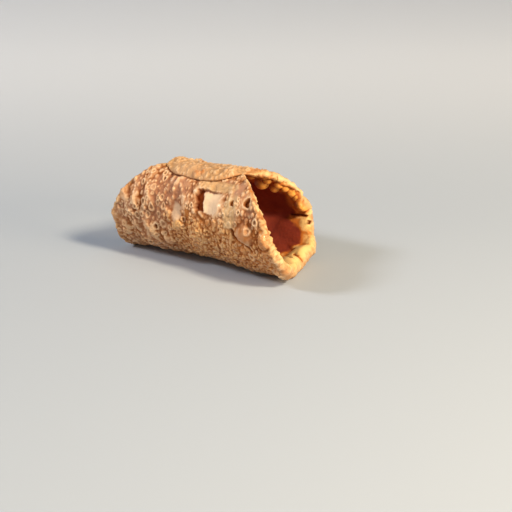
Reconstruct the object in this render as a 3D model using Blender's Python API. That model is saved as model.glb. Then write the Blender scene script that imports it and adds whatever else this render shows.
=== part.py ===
import math
import random

import bmesh
import bpy
import numpy as np

# A fried pastry shell: one sheet of dough rolled into a tube, its far end lapped over its
# near end. +X runs along the tube towards the wider mouth, -Y is the near side and Z is up.
# Angles go round the tube from its bottom, in degrees: negative up the near side, positive
# up the far side and on over the top. All lengths are in metres.

OBJECT = "cannoli"
NODE = "shell"

# the rolled tube, measured on its outside
RADIUS = 0.0200
# how far its section is from round: waves round the tube, cosine part, sine part
SECTION_WAVES = (
    (2, -0.00240, 0.00165),
    (3, 0.00045, -0.00095),
)
# widening towards each mouth: a share of the radius at FLARE_REACH from the middle, how
# much more of it the bottom gets than the top, and how late along the tube it comes
FLARE_REACH = 0.042
FLARE_LEFT = (0.085, 0.36, 3.0)
FLARE_RIGHT = (0.126, -0.28, 1.33)
# the top sags behind the lap, and a corner of the lap stands up: angle, place along the
# tube, tightness round it, half width along it, depth
DENTS = (
    (163.0, -0.0140, 9.0, 0.0110, 0.0019),
    (203.0, -0.0170, 40.0, 0.0045, -0.0008),
)

# the sheet of dough
WALL = 0.0024
LIP = 0.0005
LIP_WIDTH = 0.005
TUCK_ANGLE = -190.0
TUCK_ROUNDING = 6.0
# where the lapped end stops: place between the left rim at -1 and the right one at 1, angle
TIP = (
    (-1.0, 211.0),
    (-0.78, 218.2),
    (-0.38, 220.5),
    (0.2, 220.5),
    (0.44, 218.5),
    (0.64, 214.0),
    (0.8, 203.0),
    (1.0, 188.0),
)
# it gets this much thinner over its last degrees
TIP_TAPER = 0.0013
TIP_TAPER_ANGLE = 14.0

# how far the sheet reaches left and right of the middle: angle, left, right
OUTLINE = (
    (-192.0, 0.0052, 0.0060),
    (-160.0, 0.0172, 0.0173),
    (-130.0, 0.0275, 0.0303),
    (-95.0, 0.0361, 0.0400),
    (-55.0, 0.0395, 0.0434),
    (-5.0, 0.0377, 0.0376),
    (45.0, 0.0310, 0.0347),
    (90.0, 0.0266, 0.0270),
    (135.0, 0.0212, 0.0196),
    (180.0, 0.0172, 0.0184),
    (212.0, 0.0162, 0.0178),
    (226.0, 0.0156, 0.0156),
)
RIM_WAVE = 0.0004
RIM_WAVE_COUNTS = (7, 11)
# the rim of the right mouth is thinner up the far side, from the first angle to the second
FAR_THINNING = 0.0010
FAR_THINNING_START = 80.0
FAR_THINNING_END = 112.0
# the swollen lip inside the right mouth: angle, how thick it is, how far in it reaches
MOUTH_LIP = (
    (-90.0, 0.0001, 0.0030),
    (-62.0, 0.0012, 0.0030),
    (-40.0, 0.0026, 0.0060),
    (-15.0, 0.0036, 0.0090),
    (5.0, 0.0039, 0.0105),
    (25.0, 0.0036, 0.0100),
    (46.0, 0.0025, 0.0140),
    (64.0, 0.0021, 0.0190),
    (76.0, 0.0015, 0.0140),
    (84.0, 0.0008, 0.0060),
    (96.0, 0.0000, 0.0030),
)

# the lap: the far end rises over the near end between these angles
LAP_GAP = 0.0003
LAP_RISE_START = 92.0
LAP_RISE_END = 166.0
# no bubble stands where one layer lies on the other
COVERED_BELOW = -138.0
UNCOVERED_ABOVE = -122.0
COVERING_ABOVE = 136.0
FREE_BELOW = 124.0
# the top of the shell has only fine wrinkles
SMOOTH_ABOVE = 140.0

# blown-up places in the dough: angle, place along the tube, radius, height
OUTER_SWELLS = (
    (-96.5, 0.0284, 0.0044, 0.0015),
    (-92.5, 0.0370, 0.0032, 0.0012),
    (-52.0, 0.0395, 0.0038, 0.0009),
    (-114.0, -0.0188, 0.0050, 0.0014),
    (-76.5, -0.0188, 0.0054, 0.0015),
)
INNER_SWELLS = (
    (57.0, 0.0220, 0.0086, 0.0007),
    (30.0, 0.0325, 0.0055, 0.0012),
    (0.0, 0.0320, 0.0060, 0.0010),
    (126.0, 0.0092, 0.0036, 0.0026),
    (115.0, 0.0140, 0.0032, 0.0018),
    (109.0, 0.0196, 0.0032, 0.0016),
    (95.8, 0.0244, 0.0036, 0.0024),
)
SWELL_SEED = 7
OUTER_SWELL_COUNT = 70
INNER_SWELL_COUNT = 46
SWELL_RADIUS = (0.0032, 0.0060)
SWELL_HEIGHT = (0.0003, 0.0008)

# the shell rests on both ends: their lowest points are pressed flat
REST_HEIGHT = -0.00095
# middle of the finished shape, which becomes the origin
MIDDLE_X = 0.00173
MIDDLE_Y = -0.00009

# the grid that the sheet starts from: cells round the tube and along it
CELLS_ROUND = 56
CELLS_ALONG = 34
RIM_CUTS = 1

CRUST_COLOUR = (0.552, 0.252, 0.110, 1.0)
CRUST_ROUGHNESS = 0.5


def smooth_step(t):
    t = np.clip(t, 0.0, 1.0)
    return t * t * (3.0 - 2.0 * t)


def between(value, low, high):
    """How far value has come from low to high, eased at both ends."""
    return smooth_step((value - low) / (high - low))


def through_stations(angle, stations, reaches):
    """A smooth curve through reaches at stations, read at each angle."""
    gaps = np.diff(stations)
    slopes = np.diff(reaches) / gaps
    tangents = np.empty(len(reaches))
    weighted = slopes[:-1] * gaps[1:] + slopes[1:] * gaps[:-1]
    tangents[1:-1] = weighted / (gaps[1:] + gaps[:-1])
    tangents[0] = slopes[0]
    tangents[-1] = slopes[-1]
    angle = np.clip(angle, stations[0], stations[-1])
    i = np.clip(np.searchsorted(stations, angle) - 1, 0, len(gaps) - 1)
    t = (angle - stations[i]) / gaps[i]
    rest = 1.0 - t
    start = (1.0 + 2.0 * t) * rest**2 * reaches[i]
    start += t * rest**2 * gaps[i] * tangents[i]
    end = t**2 * (3.0 - 2.0 * t) * reaches[i + 1]
    end -= t**2 * rest * gaps[i] * tangents[i + 1]
    return start + end


def rim_reach(angle, column):
    table = np.array(OUTLINE)
    reach = through_stations(angle, table[:, 0], table[:, column])
    turn = np.radians(angle)
    first, second = RIM_WAVE_COUNTS
    wave = np.sin(first * turn + column) + 0.6 * np.sin(second * turn - column)
    uncovered = between(angle, COVERED_BELOW, UNCOVERED_ABOVE)
    return reach + RIM_WAVE * wave * uncovered


def section_radius(turn):
    radius = RADIUS
    for count, cosine, sine in SECTION_WAVES:
        radius = radius + cosine * np.cos(count * turn) + sine * np.sin(count * turn)
    return radius


def flare(x, turn):
    widths = []
    for share, droop, power in (FLARE_LEFT, FLARE_RIGHT):
        late = (np.abs(x) / FLARE_REACH) ** power
        widths.append(share * (1.0 + droop * np.cos(turn)) * late)
    return 1.0 + np.where(x > 0.0, widths[1], widths[0])


def dent_depth(x, turn):
    depth = 0.0
    for angle, middle, tightness, half_width, deep in DENTS:
        near = np.exp(tightness * (np.cos(turn - math.radians(angle)) - 1.0))
        depth = depth + deep * near * np.exp(-(((x - middle) / half_width) ** 2))
    return depth


def tube_point(x, angle):
    """A point on the outside of the rolled sheet."""
    turn = np.radians(angle)
    rise = (WALL + LAP_GAP) * between(angle, LAP_RISE_START, LAP_RISE_END)
    radius = section_radius(turn) * flare(x, turn) + rise - dent_depth(x, turn)
    centre = section_radius(0.0)
    return np.stack([x, radius * np.sin(turn), centre - radius * np.cos(turn)], axis=-1)


def tube_normal(x, angle):
    """The outward direction there, from two short steps on the surface."""
    step_x = 0.0001
    step_angle = 0.2
    along = tube_point(x + step_x, angle) - tube_point(x - step_x, angle)
    round_it = tube_point(x, angle + step_angle) - tube_point(x, angle - step_angle)
    normal = np.cross(round_it, along)
    return normal / np.linalg.norm(normal, axis=-1, keepdims=True)


def scatter_swells(count, low_angle, high_angle, seed):
    """Random blown-up places, spread over the sheet between two angles."""
    rng = random.Random(seed)
    swells = []
    for _ in range(count):
        angle = rng.uniform(low_angle, high_angle)
        left = float(rim_reach(np.array(angle), 1))
        right = float(rim_reach(np.array(angle), 2))
        x = rng.uniform(-left, right)
        radius = rng.uniform(*SWELL_RADIUS)
        height = rng.uniform(*SWELL_HEIGHT)
        swells.append((angle, x, radius, height))
    return swells


def swell_height(x, angle, swells):
    """The height of the tallest swell over each point."""
    height = np.zeros_like(x)
    for middle_angle, middle_x, radius, top in swells:
        round_it = np.radians(angle - middle_angle) * RADIUS
        distance = np.hypot(round_it, x - middle_x) / radius
        dome = top * np.clip(1.0 - distance**2, 0.0, None) ** 1.5
        height = np.maximum(height, dome)
    return height


def mouth_lip(angle):
    """How thick the swollen lip is at its rim, and how far in it reaches."""
    table = np.array(MOUTH_LIP)
    return np.interp(angle, table[:, 0], table[:, 1]), np.interp(angle, table[:, 0], table[:, 2])


def wrap(u, v, depth):
    """Where the sheet's point (u, v) goes; depth is 0 inside and 1 outside the tube."""
    # the two faces stop short of the edge, which the middle of the wall reaches
    rounding = 0.5 * (2.0 * depth - 1.0) ** 2
    pull_angle = np.degrees(rounding * WALL / RADIUS)
    tip = np.array(TIP)
    full_end = through_stations(v, tip[:, 0], tip[:, 1])
    start = TUCK_ANGLE + TUCK_ROUNDING * v**2 + pull_angle
    end = full_end - pull_angle
    angle = start + (end - start) * (u + 1.0) / 2.0
    swollen, swollen_reach = mouth_lip(angle)
    left = rounding * WALL - rim_reach(angle, 1)
    right = rim_reach(angle, 2) - rounding * (WALL + swollen)
    x = left + (right - left) * (v + 1.0) / 2.0

    uncovered = between(angle, COVERED_BELOW, UNCOVERED_ABOVE)
    free = 1.0 - between(angle, FREE_BELOW, COVERING_ABOVE)
    far_side = between(angle, FAR_THINNING_START, FAR_THINNING_END) * (x > 0.0)
    to_rim = np.minimum(right - x, x - left)
    lip = (LIP - FAR_THINNING * far_side) * np.exp(-((to_rim / LIP_WIDTH) ** 2))
    slope = np.clip((rim_reach(angle, 2) - x) / swollen_reach, 0.0, 1.0)
    swollen = swollen * (1.0 - slope**2) ** 1.5
    thinning = TIP_TAPER * between(angle, full_end - TIP_TAPER_ANGLE, full_end)
    outer = scatter_swells(OUTER_SWELL_COUNT, UNCOVERED_ABOVE, SMOOTH_ABOVE, SWELL_SEED)
    inner = scatter_swells(INNER_SWELL_COUNT, TUCK_ANGLE, FREE_BELOW, SWELL_SEED + 1)
    out = (lip + swell_height(x, angle, outer + list(OUTER_SWELLS))) * uncovered - thinning
    into = (lip + swollen + swell_height(x, angle, inner + list(INNER_SWELLS))) * free
    offset = depth * out - (1.0 - depth) * (WALL + into)

    point = tube_point(x, angle) + offset[..., None] * tube_normal(x, angle)
    point = point - np.array([MIDDLE_X, MIDDLE_Y, REST_HEIGHT])
    point[..., 2] = np.maximum(point[..., 2], 0.0)
    return point


def build_shell():
    """A flat slab of cells, wrapped into the tube."""
    mesh = bpy.data.meshes.new(NODE)
    bm = bmesh.new()
    bmesh.ops.create_grid(bm, x_segments=CELLS_ROUND, y_segments=CELLS_ALONG, size=1.0)
    lifted = bmesh.ops.extrude_face_region(bm, geom=bm.faces[:])
    top = [item for item in lifted["geom"] if isinstance(item, bmesh.types.BMVert)]
    bmesh.ops.translate(bm, verts=top, vec=(0.0, 0.0, 1.0))
    uprights = [e for e in bm.edges if abs(e.verts[0].co.z - e.verts[1].co.z) > 0.5]
    bmesh.ops.subdivide_edges(bm, edges=uprights, cuts=RIM_CUTS, use_grid_fill=True)
    bmesh.ops.recalc_face_normals(bm, faces=bm.faces[:])
    flat = np.array([vert.co[:] for vert in bm.verts])
    wrapped = wrap(flat[:, 0], flat[:, 1], flat[:, 2])
    for vert, place in zip(bm.verts, wrapped):
        vert.co = place
    bm.to_mesh(mesh)
    bm.free()
    mesh.shade_smooth()
    mesh.materials.append(crust_material())
    return bpy.data.objects.new(NODE, mesh)


def crust_material():
    material = bpy.data.materials.new("crust")
    material.use_nodes = True
    shader = material.node_tree.nodes["Principled BSDF"]
    shader.inputs["Base Color"].default_value = CRUST_COLOUR
    shader.inputs["Roughness"].default_value = CRUST_ROUGHNESS
    shader.inputs["Metallic"].default_value = 0.0
    return material


def main():
    for old in list(bpy.data.objects):
        bpy.data.objects.remove(old, do_unlink=True)
    collection = bpy.data.collections.new(OBJECT)
    bpy.context.scene.collection.children.link(collection)
    collection.objects.link(build_shell())


main()
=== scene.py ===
import math
import time

import bmesh
import bpy
import numpy as np
from mathutils import Matrix, Vector


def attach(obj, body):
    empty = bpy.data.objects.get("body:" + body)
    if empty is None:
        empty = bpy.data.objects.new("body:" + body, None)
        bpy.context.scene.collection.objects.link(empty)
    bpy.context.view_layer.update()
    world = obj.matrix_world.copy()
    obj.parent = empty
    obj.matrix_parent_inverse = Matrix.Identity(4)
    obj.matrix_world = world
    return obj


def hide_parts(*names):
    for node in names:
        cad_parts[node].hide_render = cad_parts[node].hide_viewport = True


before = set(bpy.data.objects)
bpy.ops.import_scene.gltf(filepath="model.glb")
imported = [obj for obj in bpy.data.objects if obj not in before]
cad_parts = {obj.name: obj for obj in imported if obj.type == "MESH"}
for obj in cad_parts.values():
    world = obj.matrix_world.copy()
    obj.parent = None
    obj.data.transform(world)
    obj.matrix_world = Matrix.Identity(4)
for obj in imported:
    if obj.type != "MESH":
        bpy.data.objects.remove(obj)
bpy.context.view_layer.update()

# A fried pastry shell: one sheet of dough rolled into a tube and lapped over itself on top.
# Sizes are millimetres until points go into the mesh. Angles go round the tube from its
# bottom, in degrees: negative up the near side, positive up the far side and over the top.
mm = 0.001
startTime = time.time()

roll = {
    "radius": 20.0,
    "waves": [(2, -2.40, 1.65), (3, 0.45, -0.95)],   # how far from round: count, cosine, sine
    "flareReach": 42.0,
    "flareLeft": (0.085, 0.36, 3.0),      # share of the radius, more at the bottom, lateness
    "flareRight": (0.126, -0.28, 1.33),
    # the top sags behind the flap and its left corner stands up: angle, x, tightness, half
    # width, depth
    "dents": [(163.0, -14.0, 9.0, 11.0, 1.9), (203.0, -17.0, 40.0, 4.5, -0.8)],
    "middle": (1.73, -0.09, -0.95),       # this point of the roll becomes the origin
    "wall": 2.4,
    "lapGap": 0.3,
    "lapRise": (92.0, 166.0),             # the far end climbs over the near end here
}

dough = {
    "tuckAngle": -190.0,
    "tuckRounding": 6.0,
    # where the lapped end stops: place from the left rim at -1 to the right one at 1, angle
    "tip": [
        (-1.0, 211.0),
        (-0.78, 218.2),
        (-0.38, 220.5),
        (0.2, 220.5),
        (0.44, 218.5),
        (0.64, 214.0),
        (0.8, 203.0),
        (1.0, 188.0),
    ],
    # how far it reaches left and right of the middle: angle, left, right
    "outline": [
        (-192.0, 5.2, 6.0),
        (-160.0, 17.2, 17.3),
        (-130.0, 27.5, 30.3),
        (-95.0, 36.1, 40.0),
        (-55.0, 39.5, 43.4),
        (-5.0, 37.7, 37.6),
        (45.0, 31.0, 34.7),
        (90.0, 26.6, 27.0),
        (135.0, 21.2, 19.6),
        (180.0, 17.2, 18.4),
        (212.0, 16.2, 17.8),
        (226.0, 15.6, 15.6),
    ],
    "rimShown": (-138.0, -122.0),         # the rims wander from here on, where no lap hides them
    "rimWave": 0.4,
    "rimWaveCounts": (7, 11),
    "rimRipple": 0.09,
    "rimRippleCounts": (17, 29, 46, 71),
    "edgeWidth": 5.0,                     # the rolled edge, from one face round to the other
    "edgeLump": 0.24,
    "edgeLumpSpread": (-0.8, 2.4),
    "edgeLimits": (-0.4, 0.8),
    "leftLumps": 0.6,                     # the left edge has this share of the lumps
    "lipSmoothing": 0.8,                  # share that the smooth lip takes off
    "edgeLumpsFrom": (-185.0, -165.0),
    "edgeLumpReach": 0.8,                 # the lumps fade this far in from the edge
    "smoothLip": ((-76.0, -62.0), (78.0, 88.0)),
    "farBubbles": 110,                    # on the edge, then where they are and their radii
    "farBubbleAngles": (86.0, 190.0),
    "farBubbleRadii": (0.9, 1.6),
    "farThinning": 1.0,                   # the far rim is thinner by this on each face
    "farThinningAngles": (80.0, 112.0),
    "layersTouch": (150.0, 163.0),        # from here the far end lies on the near end
    "coverFade": (-1.2, 0.8),             # the relief ends this far in under the lap
    "lip": 0.5,
    "lipWidth": 5.0,
    "tipTaper": 1.3,                      # the free end is this much thinner
    "tipTaperAngle": 14.0,
    "cellsRound": 520,
    "cellsAlong": 260,
    "rimCuts": 5,
    "mostTriangles": 192000,
}

sampleStep = 0.12                         # spacing of the relief's samples
degreeLength = math.radians(1.0) * roll["radius"]


def smoothStep(t):
    t = np.clip(t, 0.0, 1.0)
    return t * t * (3.0 - 2.0 * t)


def between(value, low, high):
    return smoothStep((value - low) / (high - low))


def plateau(value, rise, fall):
    # fades in over the first pair of values and out over the second
    return between(value, *rise) * (1.0 - between(value, *fall))


def ridge(value, middle, width):
    # 1 at the middle, next to nothing two widths away
    return np.exp(-(((value - middle) / width) ** 2))


def curveThrough(angle, stations, reaches):
    # a smooth curve through the stations, held at both ends
    gaps = np.diff(stations)
    slopes = np.diff(reaches) / gaps
    tangents = np.empty(len(reaches))
    weighted = slopes[:-1] * gaps[1:] + slopes[1:] * gaps[:-1]
    tangents[1:-1] = weighted / (gaps[1:] + gaps[:-1])
    tangents[0] = slopes[0]
    tangents[-1] = slopes[-1]
    angle = np.clip(angle, stations[0], stations[-1])
    i = np.clip(np.searchsorted(stations, angle) - 1, 0, len(gaps) - 1)
    t = (angle - stations[i]) / gaps[i]
    rest = 1.0 - t
    start = (1.0 + 2.0 * t) * rest**2 * reaches[i] + t * rest**2 * gaps[i] * tangents[i]
    end = t**2 * (3.0 - 2.0 * t) * reaches[i + 1] - t**2 * rest * gaps[i] * tangents[i + 1]
    return start + end


def rimReach(angle, side):
    # side is 1 for the left rim and 2 for the right one
    table = np.array(dough["outline"])
    reach = curveThrough(angle, table[:, 0], table[:, side])
    turn = np.radians(angle)
    first, second = dough["rimWaveCounts"]
    wave = np.sin(first * turn + side) + 0.6 * np.sin(second * turn - side)
    ripple = sum(np.sin(count * turn + 2.0 * count * side) for count in dough["rimRippleCounts"])
    shown = between(angle, *dough["rimShown"])
    return reach + (dough["rimWave"] * wave + dough["rimRipple"] * ripple) * shown


def sectionRadius(turn):
    radius = roll["radius"]
    for count, cosine, sine in roll["waves"]:
        radius = radius + cosine * np.cos(count * turn) + sine * np.sin(count * turn)
    return radius


def flare(x, turn):
    widths = []
    for name in ("flareLeft", "flareRight"):
        share, droop, power = roll[name]
        late = (np.abs(x) / roll["flareReach"]) ** power
        widths.append(share * (1.0 + droop * np.cos(turn)) * late)
    return 1.0 + np.where(x > 0.0, widths[1], widths[0])


def dent(x, turn):
    depth = 0.0
    for angle, middle, tightness, halfWidth, deep in roll["dents"]:
        near = np.exp(tightness * (np.cos(turn - math.radians(angle)) - 1.0))
        depth = depth + deep * near * ridge(x, middle, halfWidth)
    return depth


def tubePoint(x, angle):
    turn = np.radians(angle)
    lift = (roll["wall"] + roll["lapGap"]) * between(angle, *roll["lapRise"])
    radius = sectionRadius(turn) * flare(x, turn) + lift - dent(x, turn)
    centre = sectionRadius(0.0)
    return np.stack([x, radius * np.sin(turn), centre - radius * np.cos(turn)], axis=-1)


def tubeNormal(x, angle, stepAlong=0.1, stepRound=0.2):
    along = tubePoint(x + stepAlong, angle) - tubePoint(x - stepAlong, angle)
    roundIt = tubePoint(x, angle + stepRound) - tubePoint(x, angle - stepRound)
    normal = np.cross(roundIt, along)
    return normal / np.linalg.norm(normal, axis=-1, keepdims=True)


# both faces of the dough are drawn unrolled first: rows are angles, columns are x
drawnAngles = (-196.0, 230.0)
drawnXs = (-46.0, 46.0)
rowAngles = np.arange(*drawnAngles, sampleStep / degreeLength)
columnXs = np.arange(*drawnXs, sampleStep)
angleGrid, xGrid = np.meshgrid(rowAngles, columnXs, indexing="ij")
everywhere = (slice(None), slice(None))
markNames = ("crest", "ring", "pitShade", "torn", "burnAndShade", "blush", "gold", "straw", "froth")


def blurred(field, sizeRound, sizeAlong):
    # a Gaussian blur, worked out on the waves that the field is made of
    waveRound = np.fft.fftfreq(field.shape[0], d=sampleStep)[:, None]
    waveAlong = np.fft.rfftfreq(field.shape[1], d=sampleStep)[None, :]
    reach = (waveRound * sizeRound) ** 2 + (waveAlong * sizeAlong) ** 2
    return np.fft.irfft2(np.fft.rfft2(field) * np.exp(-2.0 * reach), s=field.shape)


# seeded noise: seed, how long its lumps are round the tube and along it, how strong
clouds = {
    "tearEdge": (11, 1.6, 1.6, 0.22),
    "tearEdgeFine": (12, 0.7, 0.7, 0.14),
    "tearBand": (13, 1.8, 1.8, 0.25),
    "tearFloor": (14, 1.2, 1.2, 0.12),
    "streak": (15, 1.6, 1.6, 0.12),
    "stains": (16, 1.2, 1.2, 0.08),
    "froth": (5, 12.0, 12.0, 0.35),
    "lobe": (18, 2.0, 2.0, 0.6),
    "brownTop": (17, 2.0, 2.0, 0.5),
    "brown": (19, 4.0, 4.0, 0.6),
    "blush": (6, 5.0, 4.0, 0.6),
    "warp": (21, 11.0, 11.0, 0.22),
    "folds": (22, 8.0, 2.6, 0.26),
    "lumps": (23, 2.4, 2.4, 0.14),
    "grain": (24, 0.9, 0.9, 0.07),
    "wrinklesAlong": (25, 0.6, 1.7, 0.07),
    "wrinklesRound": (26, 1.3, 0.6, 0.08),
    "wrinklePatches": (27, 5.0, 5.0, 0.6),
    "topLumps": (28, 6.0, 4.0, 0.12),
    "innerWarp": (61, 10.0, 10.0, 0.22),
    "innerLumps": (62, 2.8, 2.8, 0.05),
    "darkBorder": (71, 3.0, 3.0, 0.6),
    "edgeFine": (81, 0.9, 0.9, 1.0),
    "edgeCoarse": (82, 2.0, 2.0, 0.6),
}


def cloud(name):
    seed, sizeRound, sizeAlong, strength = clouds[name]
    noise = np.random.default_rng(seed).standard_normal(angleGrid.shape)
    lumps = blurred(noise, sizeRound, sizeAlong)
    return strength * (lumps / lumps.std())


def newFace():
    face = {name: np.zeros(angleGrid.shape) for name in markNames}
    face["height"] = np.zeros(angleGrid.shape)
    face["tornAway"] = np.zeros(angleGrid.shape)
    face["taken"] = np.zeros(angleGrid.shape, bool)
    return face


def spotAround(angle, x, reach):
    # the samples no further than that from a place
    rows = np.searchsorted(rowAngles, [angle - reach / degreeLength, angle + reach / degreeLength])
    columns = np.searchsorted(columnXs, [x - reach, x + reach])
    return slice(*rows), slice(*columns)


def howFar(spot, angle, x, radius, stretch=1.0, lean=0.0, ragged=0.0, phase=0.0):
    # distance from a place on the sheet, in radii; stretch is round the tube
    roundIt = (angleGrid[spot] - angle) * degreeLength
    along = xGrid[spot] - x
    c, s = math.cos(lean), math.sin(lean)
    a = (roundIt * c + along * s) / stretch
    b = along * c - roundIt * s
    d = np.hypot(a, b) / radius
    return d * (1.0 + ragged * np.sin(3.0 * np.arctan2(b, a) + phase))


def raiseMark(face, name, spot, amount):
    # marks don't add up where they overlap: the stronger one shows
    face[name][spot] = np.maximum(face[name][spot], amount)


def swell(face, angle, x, radius, height, **shape):
    # a soft bulge with no edge
    spot = spotAround(angle, x, radius * max(1.0, shape.get("stretch", 1.0)))
    d = howFar(spot, angle, x, radius, **shape)
    face["height"][spot] += height * np.clip(1.0 - d * d, 0.0, None) ** 1.5


def blowDome(face, angle, x, radius, height, gold=0.5, foot=0.16, **shape):
    # a closed blister
    spot = spotAround(angle, x, radius * 1.5 * max(1.0, shape.get("stretch", 1.0)))
    d = howFar(spot, angle, x, radius, **shape)
    top = height * np.clip(1.0 - d * d, 0.0, None) ** 0.75
    groove = foot * height * ridge(d, 1.1, 0.15)
    face["height"][spot] += top - groove
    raiseMark(face, "gold", spot, gold * smoothStep((1.0 - d) / 0.6))
    face["taken"][spot] |= d < 1.0


def hangBubble(face, angle, x, radius, height, leastGold=0.28):
    # half a ball that swallows what it overlaps, with painted shade in the seams and on the side away
    # from the rim, and painted light on the side towards it
    spot = spotAround(angle, x, radius * 1.2)
    d = howFar(spot, angle, x, radius, ragged=0.04, phase=x)
    ball = height * np.sqrt(np.clip(1.0 - d * d, 0.0, None))
    before, gold = face["height"][spot], face["gold"][spot]
    seam = smoothStep(np.abs(ball - before) / 0.6)
    paintedLitSide = 0.3 + 0.7 * smoothStep(0.5 + 0.55 * (xGrid[spot] - x) / radius)
    inBall = (d < 1.0) & (ball > before)
    gold = np.where(d < 1.0, np.maximum(gold * seam, leastGold), gold)
    face["gold"][spot] = np.where(inBall, np.maximum(paintedLitSide * seam, leastGold), gold)
    face["height"][spot] = np.maximum(before, ball)
    face["taken"][spot] |= d < 1.0


def popBlister(face, angle, x, radius, height, depth, hole=0.5, pale=0.6, **shape):
    # a blister that has burst: a thin raised ring round a hole of that share of its radius
    spot = spotAround(angle, x, radius * 1.5 * max(1.0, shape.get("stretch", 1.0)))
    d = howFar(spot, angle, x, radius, **shape)
    crown = 0.5 * (1.0 + hole)
    wide = 0.30 * (1.0 - hole) + 0.08
    ring = height * ridge(d, crown, wide)
    sink = -depth * smoothStep((hole + 0.04 - d) / (0.6 * hole))
    face["height"][spot] += ring + sink
    # a shallow hole has a pale bottom and a deep one a dark one, painted shade that deepens with the
    # hole
    dark = min(1.0, max(0.0, depth - 0.3) / 0.8)
    filled = 0.5 * (1.0 - dark) * smoothStep((crown - d) / 0.2)
    raiseMark(face, "ring", spot, pale * np.maximum(ridge(d, crown, 0.9 * wide), filled))
    raiseMark(face, "pitShade", spot, dark * smoothStep((hole - d) / (0.5 * hole)))
    face["taken"][spot] |= d < 1.0


# small blisters, thrown at the sheet: how many throws, their radii, the share that has burst,
# height in radii, how golden, and how likely one stays, everywhere and more or less in a zone
blisterKinds = {
    "broad": {
        "throws": 500,
        "radii": (1.8, 2.8),
        "burst": 0.0,
        "height": 0.22,
        "gold": 0.3,
        "chances": {"plain": 0.20},
    },
    "ringed": {
        "throws": 3000,
        "radii": (0.8, 1.1),
        "burst": 0.6,
        "height": 0.5,
        "gold": 0.2,
        "chances": {"everywhere": 0.06, "ringed": 0.34},
    },
    "small": {
        "throws": 16000,
        "radii": (0.5, 0.8),
        "burst": 0.25,
        "height": 0.72,
        "gold": 0.2,
        "chances": {"everywhere": 0.08, "ringed": 0.42, "mottled": 0.20, "froth": 0.85, "calm": -0.07},
    },
    "froth": {
        "throws": 18000,
        "radii": (0.34, 0.52),
        "burst": 0.15,
        "height": 0.8,
        "gold": 0.1,
        "chances": {"everywhere": 0.12, "mottled": 0.30, "froth": 0.6},
    },
    "innerBroad": {
        "throws": 1600,
        "radii": (1.5, 2.6),
        "burst": 0.0,
        "height": 0.38,
        "gold": 0.7,
        "chances": {"everywhere": 0.01, "plainEdge": 0.5},
    },
    "innerSmall": {
        "throws": 3000,
        "radii": (0.6, 1.3),
        "burst": 0.1,
        "height": 0.5,
        "gold": 0.7,
        "chances": {"everywhere": 0.01, "edge": 0.35},
    },
}
throwSeeds = {"outside": 31, "inside": 47, "edge": 91}
thrownAngles = (-190.0, 222.0)
thrownXs = (-43.5, 43.5)
clearOfRim = 0.8


def scatterBlisters(face, rng, kindName, zones):
    # seeded throws; one that lands on another blister is left out
    kind = blisterKinds[kindName]
    chance = sum(share * zones[name] for name, share in kind["chances"].items())
    tries = kind["throws"]
    least, most = kind["radii"]
    angles = rng.uniform(*thrownAngles, tries)
    xs = rng.uniform(*thrownXs, tries)
    radii = least + (most - least) * rng.uniform(0.0, 1.0, tries) ** 1.6
    luck, pop, stretch, lean, phase, size = rng.uniform(0.0, 1.0, (6, tries))
    rows = np.clip(np.searchsorted(rowAngles, angles), 0, len(rowAngles) - 1)
    columns = np.clip(np.searchsorted(columnXs, xs), 0, len(columnXs) - 1)
    onIt = (xs > clearOfRim - rimReach(angles, 1)) & (xs < rimReach(angles, 2) - clearOfRim)
    count = 0
    for i in np.flatnonzero(onIt & (luck < chance[rows, columns])):
        spot = spotAround(angles[i], xs[i], radii[i] * 0.85)
        if face["taken"][spot].any():
            continue
        shape = {
            "stretch": 1.05 + 0.45 * stretch[i],
            "lean": 0.7 * (lean[i] - 0.5),
            "ragged": 0.06,
            "phase": 6.3 * phase[i],
        }
        place = (angles[i], xs[i], radii[i])
        height = kind["height"] * radii[i] * (0.6 + 0.6 * size[i])
        if pop[i] < kind["burst"]:
            hole = 0.35 + 0.3 * size[i]
            popBlister(face, *place, height, radii[i] * 0.25, hole, 0.75, **shape)
        else:
            blowDome(face, *place, height, kind["gold"], **shape)
        count += 1
    return count


def pressGroove(face, places, width, depth, marks):
    # it runs through places on the sheet and is coloured by marks
    groove = np.zeros(angleGrid.shape)
    for (angleA, xA), (angleB, xB) in zip(places[:-1], places[1:]):
        length = math.hypot((angleB - angleA) * degreeLength, xB - xA)
        spot = spotAround((angleA + angleB) / 2.0, (xA + xB) / 2.0, length / 2.0 + 3.0 * width)
        roundIt = (angleGrid[spot] - angleA) * degreeLength
        along = xGrid[spot] - xA
        stepRound, stepAlong = (angleB - angleA) * degreeLength / length, (xB - xA) / length
        t = np.clip(roundIt * stepRound + along * stepAlong, 0.0, length)
        d = np.hypot(roundIt - t * stepRound, along - t * stepAlong) / width
        groove[spot] = np.maximum(groove[spot], np.exp(-(d**2)))
    face["height"] -= depth * groove
    for name, amount in marks.items():
        raiseMark(face, name, everywhere, amount * groove**1.5)
    face["taken"] |= groove > 0.3


def fromMiddle(name):
    # 0 in the middle of a stain or a similar place, 1 on its rounded edge
    place = outsidePlaces[name]
    a = np.abs((angleGrid - place["angle"]) * degreeLength / place["halfRound"])
    b = np.abs((xGrid - place["x"]) / place["halfAlong"])
    return (a**3 + b**3) ** (1.0 / 3.0)


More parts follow.
